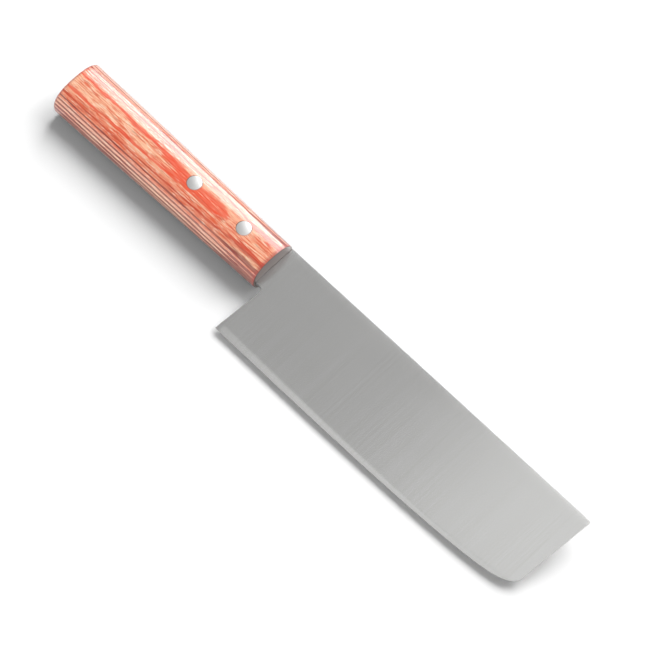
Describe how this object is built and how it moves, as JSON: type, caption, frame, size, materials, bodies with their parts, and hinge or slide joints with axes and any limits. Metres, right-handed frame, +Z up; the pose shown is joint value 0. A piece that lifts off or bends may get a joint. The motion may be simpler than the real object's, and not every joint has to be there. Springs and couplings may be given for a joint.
{
  "type": "kitchen knife",
  "caption": "Vegetable knife with a tall straight steel blade and a red laminated-wood handle held by rivets.",
  "frame": {"origin": "on the floor of the knife's box, under the box's middle, with the blade lying flat", "axes": "+X from the handle to the tip, +Y from the cutting edge to the spine, +Z up out of the blade's face"},
  "size_m": [0.2856, 0.0484, 0.02],
  "materials": {
    "blade_steel": "satin, fine grinding lines from spine to edge",
    "handle_wood": "glossy lacquer over thin red, salmon and cream plies",
    "rivet_steel": "soft polish"
  },
  "bodies": {
    "root": {"blade": "blade_steel", "handle": "handle_wood", "front_rivet_pin": "rivet_steel", "front_rivet_tube": "rivet_steel", "rear_rivet_pin": "rivet_steel", "rear_rivet_tube": "rivet_steel"}
  },
  "joints": []
}
